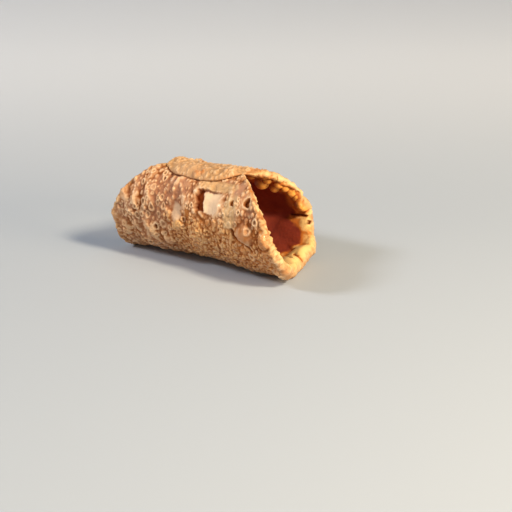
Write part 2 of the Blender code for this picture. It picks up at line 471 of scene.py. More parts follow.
# places on the outside, each with its angle and x first
outsidePlaces = {
    # then radius, height
    "swells": [
        (-114.0, -18.8, 5.2, 1.4),
        (-117.2, -25.5, 3.6, 0.9),
        (-76.5, -18.8, 5.4, 2.1),
        (-99.0, -9.8, 3.0, 0.9),
        (-108.6, -31.0, 3.4, 0.8),
        (-63.0, -12.5, 4.2, 1.2),
        (-102.0, -27.5, 4.2, 1.0),
        (-131.0, -8.0, 3.6, 1.0),
        (-90.5, -5.0, 4.4, 1.3),
        (-70.0, -32.0, 4.0, 0.9),
        (-113.0, -1.0, 3.6, 0.8),
        (-82.0, 5.0, 5.0, 1.1),
        (-70.0, 20.0, 6.0, 1.0),
        (-118.0, 24.5, 3.0, 0.4),
        (-52.0, 39.5, 3.6, 0.9),
        (-106.5, -24.3, 3.2, 0.8),
    ],
    # then radius, height, how golden
    "pads": [
        (-96.5, 28.4, 4.4, 1.9, 0.85),
    ],
    "domes": [
        (-94.5, 37.6, 3.0, 1.5, 1.0),
        (-109.2, 28.9, 1.1, 0.6, 0.2),
        (-115.4, 31.5, 0.9, 0.5, 0.3),
        (-115.4, 33.9, 0.8, 0.5, 0.6),
        (-107.7, 25.9, 0.9, 0.4, 0.0),
        (-96.2, 8.3, 1.2, 0.7, 1.0),
        (-98.9, 10.4, 1.4, 0.7, 1.0),
        (-100.0, 13.3, 1.5, 0.7, 0.8),
        (-103.5, 16.5, 1.1, 0.5, 0.3),
        (-89.2, 22.0, 1.0, 0.5, 0.2),
        (-58.0, 23.2, 1.6, 0.6, 0.7),
        (-77.5, 26.4, 1.8, 0.5, 0.8),
        (-103.0, 36.3, 1.2, 0.4, 1.0),
        (-150.6, 19.0, 0.9, 0.5, 0.6),
        (216.0, -0.9, 1.8, 0.9, 0.8),
        (213.2, 1.2, 1.2, 0.6, 1.0),
        (213.6, 14.8, 0.9, 0.6, 0.5),
        (217.2, 15.0, 1.0, 0.6, 0.7),
        (201.5, 17.6, 1.1, 0.6, 0.5),
        (194.7, 17.4, 1.2, 0.6, 0.5),
        (206.0, 10.5, 1.0, 0.4, 0.3),
        (210.0, 7.0, 1.3, 0.4, 0.1),
    ],
    # then radius, ring height, depth, share that is hole, how much longer round the tube
    "rings": [
        (-132.6, -14.2, 1.0, 0.40, 0.75, 0.50, 1.2),
        (-82.0, -15.8, 1.4, 0.40, 1.3, 0.50, 1.3),
        (-63.6, -18.9, 1.4, 0.40, 1.4, 0.60, 1.2),
        (-49.8, -23.4, 1.5, 0.40, 1.4, 0.60, 1.1),
        (-96.8, -1.7, 1.0, 0.40, 0.68, 0.50, 1.2),
        (-79.9, -28.4, 1.1, 0.40, 0.6, 0.50, 1.2),
        (-85.5, -12.3, 1.5, 0.33, 0.2, 0.45, 1.3),
        (-109.5, 33.4, 1.5, 0.55, 0.35, 0.45, 0.85),
        (-100.6, 30.4, 1.5, 0.48, 0.12, 0.40, 0.9),
        (-101.8, 20.8, 1.3, 0.20, 0.04, 0.60, 1.0),
        (-72.8, 30.2, 1.6, 0.50, 0.6, 0.50, 1.1),
        (-75.2, 39.6, 1.1, 0.28, 0.16, 0.45, 1.0),
        (-59.5, 32.1, 1.1, 0.28, 0.16, 0.50, 1.0),
        (-62.5, 35.4, 1.0, 0.28, 0.16, 0.50, 1.0),
        (-71.0, 33.9, 0.9, 0.28, 0.12, 0.50, 1.0),
        (-50.0, 40.8, 1.4, 0.80, 1.30, 0.60, 1.0),
        (-42.0, 40.9, 1.2, 0.60, 1.20, 0.60, 1.0),
        (-52.0, 38.0, 1.2, 0.50, 0.90, 0.50, 1.0),
        (-106.5, -20.7, 1.1, 0.48, 0.16, 0.50, 1.4),
        (-107.4, -14.2, 0.9, 0.38, 0.12, 0.45, 1.3),
        (-102.1, -17.1, 1.2, 0.38, 0.16, 0.50, 1.5),
        (-105.4, -11.5, 1.0, 0.38, 0.16, 0.50, 1.5),
        (-93.8, -19.0, 1.0, 0.33, 0.2, 0.55, 1.5),
        (-95.9, -13.9, 1.0, 0.38, 0.16, 0.50, 1.5),
        (-89.7, -30.9, 1.1, 0.38, 0.12, 0.50, 1.5),
        (-92.3, -27.8, 1.0, 0.33, 0.08, 0.45, 1.2),
        (-83.8, -23.8, 0.9, 0.33, 0.12, 0.40, 1.4),
        (-71.6, -25.4, 0.9, 0.33, 0.16, 0.45, 1.5),
        (-106.0, -26.1, 1.1, 0.23, 0.08, 0.50, 1.2),
        (-121.3, -17.2, 1.2, 0.33, 0.12, 0.50, 1.1),
    ],
    # broad lighter and darker places, partly painted light and shade, partly the crust's own tone:
    # then size, how much lighter
    "lightShadeAndTone": [
        (-112.0, -9.0, 9.0, -0.12),
        (-82.0, -29.0, 14.0, 0.12),
        (-128.0, 22.0, 7.0, -0.12),
        (-97.0, 28.0, 5.0, -0.22),
        (-113.0, 19.0, 6.0, 0.30),
        (-92.5, 37.0, 3.5, -0.25),
        (210.0, 0.0, 10.0, -0.15),
        (-136.0, -12.0, 7.0, 0.06),
        (-82.0, 4.0, 14.0, 0.12),
        (-118.0, -23.0, 10.0, -0.10),
        (-118.0, -14.0, 2.2, -0.20),
        (-106.0, -24.5, 2.5, 0.10),
    ],
    # wide holes with no raised ring: then half its size along, half its size round, depth
    "hollows": [
        (-124.6, 27.6, 1.4, 1.5, 1.5),
        (-121.5, 20.9, 0.8, 0.9, 1.1),
        (-157.2, 14.2, 0.8, 0.8, 1.0),
    ],
    # the open tear: angle, its left edge, where the dark band beside that edge ends, right edge
    "tear": [
        (-129.6, 4.6, 6.0, 14.6),
        (-127.0, 3.3, 5.9, 15.4),
        (-124.0, 2.8, 6.2, 16.0),
        (-120.5, 3.1, 6.5, 16.3),
        (-117.2, 4.1, 6.7, 16.0),
        (-114.0, 3.4, 7.2, 15.6),
        (-111.5, 3.4, 7.6, 15.0),
        (-109.0, 4.3, 7.8, 14.2),
        (-107.2, 6.2, 7.8, 12.8),
    ],
    "tearDepths": (1.6, 0.75),            # of the dark band and of the floor beside it
    "tearSlope": 0.35,                    # how wide its edges are
    "tearAcross": (6.5, 15.5),            # from where to where the floor rises and runs out
    "tearTail": {
        "places": [(-107.8, 5.0), (-104.5, 5.6), (-101.0, 7.2), (-98.5, 8.6)],
        "width": 0.7,
        "depth": 0.6,
        "marks": {"gold": 1.0, "burnAndShade": 0.55},
    },
    # the dark mark along the crack is painted shade in the gap
    "crack": {
        "places": [
            (-97.5, 21.9),
            (-91.8, 23.0),
            (-87.2, 25.3),
            (-85.6, 28.4),
            (-83.6, 30.2),
            (-80.8, 31.2),
        ],
        "width": 0.5,
        "depth": 1.1,
        "marks": {"burnAndShade": 1.0},
    },
    # patches with a rounded outline
    "roundTear": {"angle": -118.0, "x": 13.0, "halfRound": 6.0, "halfAlong": 10.0},
    "streak": {"angle": -103.5, "x": -5.0, "halfRound": 3.2, "halfAlong": 2.4},
    "smear": {"angle": -104.0, "x": 0.1, "halfRound": 1.7, "halfAlong": 0.9},
    "redSpot": {"angle": -136.4, "x": 1.2, "halfRound": 0.9, "halfAlong": 1.1},
    "calmBand": {"angle": -136.0, "x": 11.0, "halfRound": 2.4, "halfAlong": 9.5},
    "calmPink": {"angle": -136.0, "x": 21.6, "halfRound": 4.2, "halfAlong": 2.1},
    "rimGold": {"angle": -137.5, "x": 27.2, "halfRound": 1.0, "halfAlong": 0.9},
    "mauve": {"angle": -128.0, "x": -6.5, "halfRound": 3.8, "halfAlong": 5.0},
    "straw": {"angle": -113.0, "x": 20.5, "halfRound": 6.0, "halfAlong": 3.2},
    "brownEdge": {"angle": -77.0, "x": 38.6, "halfRound": 4.5, "halfAlong": 2.2},
    "flapFace": {"angle": 213.0, "x": -5.0, "halfRound": 3.5, "halfAlong": 8.5},
    # patch, mark, how strong
    "stains": [
        ("flapFace", "blush", 0.7),
        ("brownEdge", "gold", 0.6),
        ("calmBand", "straw", 0.9),
        ("calmPink", "blush", 1.0),
        ("rimGold", "gold", 0.9),
        ("mauve", "blush", 0.75),
        ("straw", "straw", 1.0),
        ("smear", "gold", 1.0),
        ("redSpot", "burnAndShade", 0.45),
    ],
    # small blisters stand on these patches too
    "blistered": ("straw", "flapFace", "brownEdge", "mauve"),
}


def tearOpen(face):
    table = np.array(outsidePlaces["tear"])
    left, bandEnd, right = (np.interp(angleGrid, table[:, 0], table[:, i]) for i in (1, 2, 3))
    top, bottom = table[0, 0], table[-1, 0]
    wander = cloud("tearEdge") + cloud("tearEdgeFine")
    fromTop = (angleGrid - top) * degreeLength + 0.5 * wander
    fromBottom = (bottom - angleGrid) * degreeLength + wander
    fromLeft = xGrid - left + wander
    fromRight = right - xGrid + wander
    within = np.minimum(np.minimum(fromTop, fromBottom), np.minimum(fromLeft, fromRight))
    edge = outsidePlaces["tearSlope"]
    torn = smoothStep(within / edge)
    band = torn * smoothStep((bandEnd + cloud("tearBand") - xGrid) / edge)

    # the floor runs out towards the right and towards the bottom
    start, end = outsidePlaces["tearAcross"]
    across = (xGrid - start) / (end - start)
    down = (angleGrid - top) / (bottom - top)
    runOut = np.maximum(smoothStep(2.0 * across - 1.0), 0.7 * smoothStep((down - 0.65) / 0.35))
    deep, shallow = outsidePlaces["tearDepths"]
    floor = shallow * (1.0 - runOut)
    face["tornAway"] = torn * floor + band * (deep - floor + cloud("tearFloor"))
    face["height"] -= face["tornAway"]
    face["torn"] = torn * (1.0 - band) * (1.0 - 0.8 * smoothStep(2.5 * across - 1.7))

    # a dark line under the top edge, painted shadow of that edge, and a raised fringe round the top
    # left corner
    topEdgeShadow = ridge(fromTop, 0.25, 0.32) * (within > -0.8) * (1.0 - between(across, 0.5, 1.0))
    # the dark band beside the left edge is partly the burnt cut edge and partly painted shade
    face["burnAndShade"] = np.maximum(band, 0.95 * topEdgeShadow)
    corner = np.maximum(1.0 - between(across, -0.2, 0.0), 1.0 - between(down, 0.0, 0.1))
    fringe = ridge(within, -0.35, 0.20) * corner
    face["height"] += 0.11 * fringe - 0.15 * topEdgeShadow
    raiseMark(face, "ring", everywhere, 0.3 * fringe * (1.0 - between(across, 0.2, 0.8)))
    face["taken"] |= within > -0.5


def stainSkin(face):
    streak = fromMiddle("streak") + cloud("streak")
    pale = smoothStep((1.0 - streak) / 0.35)
    face["height"] -= 0.15 * pale
    raiseMark(face, "torn", everywhere, 0.65 * pale)
    face["taken"] |= streak < 0.9
    wander = cloud("stains")
    for name, colour, amount in outsidePlaces["stains"]:
        stain = fromMiddle(name) + wander
        raiseMark(face, colour, everywhere, amount * smoothStep((1.2 - stain) / 0.5))
        if name not in outsidePlaces["blistered"]:
            face["taken"] |= stain < 0.85


def swellPad(face, angle, x, radius, height, gold):
    # a broad swelling with a golden top, which stays free of small blisters
    swell(face, angle, x, radius, height, ragged=0.05, phase=x)
    spot = spotAround(angle, x, radius)
    d = howFar(spot, angle, x, radius)
    raiseMark(face, "gold", spot, gold * smoothStep((0.95 - d) / 0.6))
    face["taken"][spot] |= d < 0.9


def digHollow(face, angle, x, halfAlong, halfRound, depth):
    # darkest towards its edge, partly burnt and partly painted shade under the rim, with a pale border
    spot = spotAround(angle, x, 2.0 * halfRound)
    d = howFar(spot, angle, x, halfAlong, stretch=halfRound / halfAlong, ragged=0.12, phase=x)
    face["height"][spot] += 0.06 * ridge(d, 1.2, 0.2) - depth * smoothStep((1.05 - d) / 0.2)
    raiseMark(face, "gold", spot, smoothStep((1.08 - d) / 0.1))
    edgeBurnAndShade = 0.45 + 0.45 * ridge(d, 0.85, 0.25)
    raiseMark(face, "burnAndShade", spot, edgeBurnAndShade * smoothStep((1.05 - d) / 0.15))
    raiseMark(face, "straw", spot, 0.6 * ridge(d, 1.3, 0.2))
    face["taken"][spot] |= d < 1.5


def shapePlaces(face):
    pressGroove(face, **outsidePlaces["crack"])
    pressGroove(face, **outsidePlaces["tearTail"])
    for angle, x, radius, height in outsidePlaces["swells"]:
        swell(face, angle, x, radius, height, stretch=1.25, ragged=0.08, phase=x)
    for place in outsidePlaces["pads"]:
        swellPad(face, *place)
    for angle, x, radius, height, gold in outsidePlaces["domes"]:
        blowDome(face, angle, x, radius, height, gold, ragged=0.05, phase=x)
    for angle, x, radius, height, depth, hole, longer in outsidePlaces["rings"]:
        popBlister(face, angle, x, radius, height, depth, hole, stretch=longer, ragged=0.10, phase=x)
    for place in outsidePlaces["hollows"]:
        digHollow(face, *place)


# how the skin changes over the outside: each pair fades a zone in or out, in degrees round
# the tube, along it, or in from a rim
skinZones = {
    "smoothTop": (135.0, 155.0),
    "brownTop": (135.0, 165.0),
    "brownTopWidth": (1.5, 3.5),
    "nearSide": ((-150.0, -140.0), (-36.0, -18.0)),
    "frothLow": (-112.0, -96.0),
    "frothRight": (-16.0, -6.0),
    "rimFroth": (0.8, 2.4),
    "lobe": ((-80.0, -66.0), (-30.0, -15.0)),
    "lobeWidth": (2.8, 5.2),
    "underside": ((-100.0, -72.0), (90.0, 130.0)),
    "brownRight": (14.0, 24.0),
    "brownLow": (-112.0, -100.0),
    "ringedLeft": (-14.0, -6.0),
    "mottledRight": (-14.0, 0.0),
    "foldedMiddle": (16.0, 24.0),         # out from the middle of the folds
}
foldsAt = -9.0
# how strongly each zone is coloured
zoneColours = {
    "rimFroth": 0.8,
    "lowWarmBounce": 0.45,
    "brownTop": 0.85,
    "brown": 0.45,
    "blush": 0.55,
    "straw": 0.7,
}


def zoneSkin(face):
    # where the fine froth is, where bigger rings are, and where the skin stays calm
    calm = between(angleGrid, *skinZones["smoothTop"])
    near = plateau(angleGrid, *skinZones["nearSide"])
    froth = near * between(angleGrid, *skinZones["frothLow"])
    froth *= between(xGrid, *skinZones["frothRight"])
    froth = np.maximum(froth, (1.0 - near) * smoothStep(cloud("froth") + 0.25))
    froth *= 1.0 - calm
    for place in outsidePlaces["pads"]:
        froth *= between(howFar(everywhere, *place[:3]), 0.7, 1.0)

    # the froth colour also runs round the rims and low on the tube, but not over the lobe; low on the
    # tube it is painted warm bounce light
    toLeft, toRight = rimReach(angleGrid, 1) + xGrid, rimReach(angleGrid, 2) - xGrid
    face["froth"] = blurred(froth * (1.0 - face["torn"]), 1.0, 1.0)
    rims = 1.0 - between(np.minimum(toRight, toLeft), *skinZones["rimFroth"])
    raiseMark(face, "froth", everywhere, zoneColours["rimFroth"] * rims)
    lobe = plateau(angleGrid, *skinZones["lobe"])
    lobe *= 1.0 - between(toRight + cloud("lobe"), *skinZones["lobeWidth"])
    froth *= 1.0 - lobe
    face["froth"] *= 1.0 - lobe
    low = plateau(angleGrid, *skinZones["underside"])
    raiseMark(face, "froth", everywhere, zoneColours["lowWarmBounce"] * low * (1.0 - lobe))
    face["lobe"] = lobe

    quiet = smoothStep((1.2 - fromMiddle("mauve")) / 0.4)
    ringed = near * (1.0 - between(xGrid, *skinZones["ringedLeft"]))
    ringed = (ringed + 0.5 * (1.0 - near) * (1.0 - calm)) * (1.0 - 0.9 * quiet)
    mottled = (1.0 - calm) * between(xGrid, *skinZones["mottledRight"]) * (1.0 - 0.7 * quiet)
    return {
        "everywhere": 1.0,
        "calm": calm,
        "near": near,
        "froth": froth,
        "plain": (1.0 - calm) * (1.0 - froth),
        "ringed": ringed,
        "mottled": mottled,
    }


def colourSkin(face, zones):
    # brown along the top's right edge and low on the right, mauve where nothing has frothed
    calm, near, froth = zones["calm"], zones["near"], zones["froth"]
    browned = 1.0 - between(rimReach(angleGrid, 2) - xGrid, *skinZones["brownTopWidth"])
    browned *= between(angleGrid, *skinZones["brownTop"])
    browned *= smoothStep(0.8 + cloud("brownTop"))
    raiseMark(face, "gold", everywhere, zoneColours["brownTop"] * browned)
    brown = between(xGrid, *skinZones["brownRight"]) * near
    brown *= between(angleGrid, *skinZones["brownLow"])
    brown *= smoothStep(0.5 + cloud("brown"))
    raiseMark(face, "gold", everywhere, zoneColours["brown"] * brown)
    blush = smoothStep(0.5 + cloud("blush")) * (1.0 - 0.85 * froth) * (1.0 - calm)
    blush *= smoothStep((fromMiddle("roundTear") - 0.8) / 0.4)
    raiseMark(face, "blush", everywhere, zoneColours["blush"] * blush)
    raiseMark(face, "straw", everywhere, zoneColours["straw"] * calm)


softSwells = {
    "count": 60,
    "angles": (-150.0, 130.0),
    "xs": (-38.0, 38.0),
    "radii": (3.0, 6.0),
    "heights": (0.3, 0.9),
    "share": 0.6,
}


def crumpleOutside(face, rng, zones):
    # swelling and soft folds under the blisters, and a fine grain over them
    calm, froth, torn = zones["calm"], zones["froth"], face["torn"]
    for i in range(softSwells["count"]):
        angle, x = rng.uniform(*softSwells["angles"]), rng.uniform(*softSwells["xs"])
        radius = rng.uniform(*softSwells["radii"])
        height = rng.uniform(*softSwells["heights"]) * softSwells["share"]
        swell(face, angle, x, radius, height, stretch=1.3, ragged=0.08, phase=radius)
    face["height"] += cloud("warp") * (1.0 - 0.7 * calm)
    middle = 1.0 - between(np.abs(xGrid - foldsAt), *skinZones["foldedMiddle"])
    middle *= (1.0 - froth) * (1.0 - calm)
    face["height"] += cloud("folds") * (0.3 + 0.7 * middle)
    face["height"] += cloud("lumps") * (1.0 - 0.8 * torn)
    face["height"] += cloud("grain") * (1.0 + 0.5 * calm) * (1.0 - 0.7 * torn)

    # the smooth top and the smooth band over the tear have fine wrinkles
    band = smoothStep((1.3 - fromMiddle("calmBand")) / 0.5)
    wrinkled = np.maximum(calm, 0.8 * band)
    patches = smoothStep(0.5 + cloud("wrinklePatches"))
    wrinkles = cloud("wrinklesAlong") + cloud("wrinklesRound") * patches
    face["height"] += (wrinkles + cloud("topLumps")) * wrinkled


def drawOutside():
    rng = np.random.default_rng(throwSeeds["outside"])
    face = newFace()
    tearOpen(face)
    stainSkin(face)
    shapePlaces(face)
    zones = zoneSkin(face)
    colourSkin(face, zones)
    count = 0
    for kindName in ("broad", "ringed", "small", "froth"):
        count += scatterBlisters(face, rng, kindName, zones)
    crumpleOutside(face, rng, zones)
    print(f"outside: {count} blisters")
    return face


# the swollen lip inside the right mouth: angle, how thick, how far in it reaches, and how far
# in the light crust goes before the dark wall starts
# the dark wall deeper in is partly darker crust and partly painted shade
lipStations = [
    (-90.0, 0.1, 3.0, 3.5),
    (-62.0, 1.2, 3.0, 4.0),
    (-40.0, 2.6, 6.0, 8.0),
    (-15.0, 3.6, 9.0, 12.0),
    (5.0, 3.9, 10.5, 14.0),
    (25.0, 3.6, 10.0, 12.5),
    (36.0, 3.0, 9.0, 9.5),
    (46.0, 2.5, 14.0, 6.0),
    (54.0, 2.3, 19.0, 4.0),
    (64.0, 2.1, 19.0, 4.0),
    (70.0, 1.8, 16.0, 6.5),
    (76.0, 1.5, 14.0, 9.5),
    (80.0, 1.1, 11.0, 8.0),
    (84.0, 0.8, 6.0, 6.0),
    (90.0, 0.3, 4.0, 7.5),
    (96.0, 0.1, 3.0, 7.0),
    (104.0, 0.0, 3.0, 6.0),
    (110.0, 0.0, 3.0, 9.0),
    (118.0, 0.0, 3.0, 16.0),
    (150.0, 0.0, 3.0, 18.0),
]

# places on the inside wall
insidePlaces = {
    # then radius, height
    "bubbles": [
        (126.0, 9.4, 3.1, 3.4),
        (136.0, 13.4, 2.2, 2.0),
        (115.5, 13.6, 2.3, 2.2),
        (125.0, 16.6, 2.2, 1.8),
        (117.0, 18.4, 2.1, 1.7),
        (110.0, 20.4, 2.2, 1.9),
        (103.5, 21.8, 1.8, 1.5),
        (95.8, 24.2, 3.0, 2.9),
        (142.0, 7.0, 2.0, 1.2),
        (148.0, 14.5, 1.7, 0.9),
    ],
    "bigDome": (57.0, 22.0, 8.6, 0.7),
    "swells": [(30.0, 32.5, 5.5, 1.5), (0.0, 32.0, 6.0, 1.3), (71.0, 27.0, 4.0, 0.5)],
    # then radius, ring height, depth, share that is hole
    "hole": (76.0, 28.2, 0.95, 0.15, 1.9, 0.75),
    "holeStretch": 1.5,
    # then size, how much lighter; partly painted shade, as on the big dome
    "lightShadeAndTone": [(55.0, 17.0, 9.0, -0.45), (74.0, 22.0, 4.0, -0.40), (60.0, 27.5, 3.0, -0.20)],
    # the dark marks along the creases are painted shadow under the folds
    "grooves": [
        {
            "places": [(75.0, 6.0), (76.5, 13.0), (80.2, 19.5)],
            "width": 1.6,
            "depth": 0.8,
            "marks": {},
        },
        {
            "places": [(80.2, 19.0), (82.0, 22.5), (83.0, 25.2), (83.2, 26.8)],
            "width": 0.45,
            "depth": 1.0,
            "marks": {"burnAndShade": 0.9},
        },
        {
            "places": [(20.5, 31.2), (17.5, 33.3), (14.5, 35.6), (18.0, 36.6)],
            "width": 0.6,
            "depth": 0.8,
            "marks": {"burnAndShade": 0.35},
        },
        {
            "places": [(9.5, 28.0), (3.5, 31.2), (-1.5, 33.8)],
            "width": 0.6,
            "depth": 0.8,
            "marks": {"burnAndShade": 0.35},
        },
    ],
    "foldedLip": (36.0, 48.0),            # the lip is rolled in below these angles, flat above
    "smoothLip": ((-55.0, -40.0), (80.0, 88.0)),
    "farRim": ((82.0, 88.0), (150.0, 160.0)),
    "crowdedEdge": (5.0, 12.0),
}


def lipAt(angle, column):
    table = np.array(lipStations)
    return np.interp(angle, table[:, 0], table[:, column])


def shapeInside(face):
    toRight = rimReach(angleGrid, 2) - xGrid
    slope = np.clip(toRight / lipAt(angleGrid, 2), 0.0, 1.0)
    folded = 1.0 - between(angleGrid, *insidePlaces["foldedLip"])
    lip = folded * (1.0 - slope**3) + (1.0 - folded) * (1.0 - slope**2) ** 2
    face["height"] += lipAt(angleGrid, 1) * lip
    blowDome(face, *insidePlaces["bigDome"], gold=0.0, foot=0.0)
    face["taken"][:] = False
    for place in insidePlaces["swells"]:
        swell(face, *place)
    for place in insidePlaces["bubbles"]:
        hangBubble(face, *place)
    popBlister(face, *insidePlaces["hole"], stretch=insidePlaces["holeStretch"])
    # the dark inside of the hole is painted shade
    where = insidePlaces["hole"][:3]
    spot = spotAround(*where)
    d = howFar(spot, *where, stretch=insidePlaces["holeStretch"])
    raiseMark(face, "burnAndShade", spot, smoothStep((0.95 - d) / 0.25))
    for groove in insidePlaces["grooves"]:
        pressGroove(face, **groove)


def drawInside():
    rng = np.random.default_rng(throwSeeds["inside"])
    face = newFace()
    shapeInside(face)
    # bubbles crowd along both mouths and thin out deeper in
    toRight = rimReach(angleGrid, 2) - xGrid
    toLeft = xGrid + rimReach(angleGrid, 1)
    atRight = xGrid > 0.0
    edge = 1.0 - between(np.minimum(toLeft, toRight), *insidePlaces["crowdedEdge"])
    edge *= 1.0 - plateau(angleGrid, *insidePlaces["smoothLip"]) * atRight
    farRim = plateau(angleGrid, *insidePlaces["farRim"]) * atRight
    zones = {"everywhere": 1.0, "edge": edge, "plainEdge": edge * (1.0 - farRim)}
    face["taken"] |= howFar(everywhere, *insidePlaces["bigDome"][:3]) < 1.1
    count = 0
    for kindName in ("innerBroad", "innerSmall"):
        count += scatterBlisters(face, rng, kindName, zones)
    face["height"] += cloud("innerWarp")
    face["height"] += cloud("innerLumps")
    face["darkBorder"] = cloud("darkBorder")
    print(f"inside: {count} blisters")
    return face


# painted light and shade: how much lighter the tops and darker the hollows are painted, over the
# crust's own browning
lightnessOf = {
    "plain": 0.45,
    "wideReach": 9.0,                     # what stands out over this length is lighter
    "wide": 0.30,
    "fineReach": 2.4,
    "fine": 1.5,
    "fineInFroth": 0.6,
    "leastInFroth": 0.20,
}


def finishFace(face, lightShadeAndTone):
    # what stands out from its surroundings is lighter than what lies between: partly the crust's own
    # browning, partly painted light on the tops and painted shade in the hollows
    whole = face["height"] + face["tornAway"]
    away = whole - blurred(whole, lightnessOf["wideReach"], lightnessOf["wideReach"])
    fine = whole - blurred(whole, lightnessOf["fineReach"], lightnessOf["fineReach"])
    fineShare = lightnessOf["fine"] + lightnessOf["fineInFroth"] * face["froth"]
    lightness = lightnessOf["plain"] + lightnessOf["wide"] * away + fineShare * fine
    least = lightnessOf["leastInFroth"] * smoothStep(1.6 * face["froth"])
    lightness = np.maximum(lightness, least)
    # broad patches of painted light and shade, and of tone
    for angle, x, size, lighter in lightShadeAndTone:
        lightness += lighter * ridge(howFar(everywhere, angle, x, size), 0.0, 1.0)
    face["crest"] = np.clip(lightness, 0.0, 1.0)


outside = drawOutside()
inside = drawInside()
finishFace(outside, outsidePlaces["lightShadeAndTone"])
finishFace(inside, insidePlaces["lightShadeAndTone"])
print(f"relief drawn, {time.time() - startTime:.1f} s")


def readField(field, angle, x):
    # a drawn field at places on the sheet, between its samples
    row = (angle - rowAngles[0]) / (rowAngles[1] - rowAngles[0])
    column = (x - columnXs[0]) / sampleStep
    r = np.clip(row.astype(int), 0, field.shape[0] - 2)
    c = np.clip(column.astype(int), 0, field.shape[1] - 2)
    a, b = row - r, column - c
    top = field[r, c] * (1.0 - b) + field[r, c + 1] * b
    bottom = field[r + 1, c] * (1.0 - b) + field[r + 1, c + 1] * b
    return top * (1.0 - a) + bottom * a


def freeEnd(v):
    table = np.array(dough["tip"])
    return curveThrough(v, table[:, 0], table[:, 1])


def uncoveredAt(angle, x):
    # 0 where the lapped end lies on this place, 1 in the open
    over = angle + 360.0
    left, right = rimReach(over, 1), rimReach(over, 2)
    end = freeEnd(np.clip(np.where(x > 0.0, x / right, x / left), -1.0, 1.0))
    under = np.minimum(np.minimum(x + left, right - x), (end - over) * degreeLength)
    return 1.0 - between(under, *dough["coverFade"])


def drawEdge():
    # the rolled edge unrolled: rows are angles, and x runs from the inner face to the outer one
    strip = newFace()
    rng = np.random.default_rng(throwSeeds["edge"])
    lumps = np.clip(cloud("edgeFine") + cloud("edgeCoarse"), *dough["edgeLumpSpread"])
    strip["height"] += dough["edgeLump"] * lumps
    for i in range(dough["farBubbles"]):
        angle = rng.uniform(*dough["farBubbleAngles"])
        x = rng.uniform(-0.5, dough["edgeWidth"])
        radius = rng.uniform(*dough["farBubbleRadii"])
        blowDome(strip, angle, x, radius, 0.35 * radius, stretch=1.1)
    return np.clip(strip["height"], *dough["edgeLimits"])


edgeRelief = drawEdge()


def onSheet(u, v, depth):
    # u runs round the tube and v along it, both from -1 to 1; depth is 0 inside, 1 outside;
    # the points between those faces lie on the rolled edge
    rounded = 0.5 * (1.0 - np.sin(np.pi * depth))
    across = 0.5 * (1.0 - np.cos(np.pi * depth))
    start = dough["tuckAngle"] + dough["tuckRounding"] * v**2
    end = freeEnd(v)
    pull = rounded * roll["wall"] / degreeLength
    angle = start + pull + (end - start - 2.0 * pull) * (u + 1.0) / 2.0
    left = rounded * roll["wall"] - rimReach(angle, 1)
    right = rimReach(angle, 2) - rounded * (roll["wall"] + lipAt(angle, 1))
    x = left + (right - left) * (v + 1.0) / 2.0
    lump = readField(edgeRelief, angle, dough["edgeWidth"] * depth)
    lump *= between(angle, *dough["edgeLumpsFrom"])
    fade = np.exp(-np.minimum(x - left, right - x) / dough["edgeLumpReach"])
    smoothLip = plateau(angle, *dough["smoothLip"])
    rightLumps = 1.0 - dough["lipSmoothing"] * smoothLip
    lump *= np.where(x > 0.0, rightLumps, dough["leftLumps"]) * fade
    return angle, x, across, end, lump


def sheetPoint(angle, x, across, end, lump, depth):
    toRim = np.minimum(x + rimReach(angle, 1), rimReach(angle, 2) - x)
    farSide = between(angle, *dough["farThinningAngles"]) * (x > 0.0)
    thicker = dough["lip"] - dough["farThinning"] * farSide
    lip = thicker * (1.0 - between(toRim, 0.0, dough["lipWidth"]))
    uncovered = uncoveredAt(angle, x)
    free = 1.0 - between(angle, *dough["layersTouch"])
    thinning = dough["tipTaper"] * between(angle, end - dough["tipTaperAngle"], end)
    out = (lip + readField(outside["height"], angle, x)) * uncovered - thinning
    into = (lip + readField(inside["height"], angle, x)) * free
    offset = across * out - (1.0 - across) * (roll["wall"] + into) - lump * np.cos(np.pi * depth)
    x = x + np.sign(x) * lump * np.sin(np.pi * depth)
    point = tubePoint(x, angle) + offset[:, None] * tubeNormal(x, angle) - np.array(roll["middle"])
    point[:, 2] = np.maximum(point[:, 2], 0.0)
    return point


def readPoints(mesh, name):
    values = np.empty(len(mesh.vertices))
    mesh.attributes[name].data.foreach_get("value", values)
    return values


def storePoints(mesh, name, values):
    mesh.attributes.new(name, "FLOAT", "POINT").data.foreach_set("value", values)


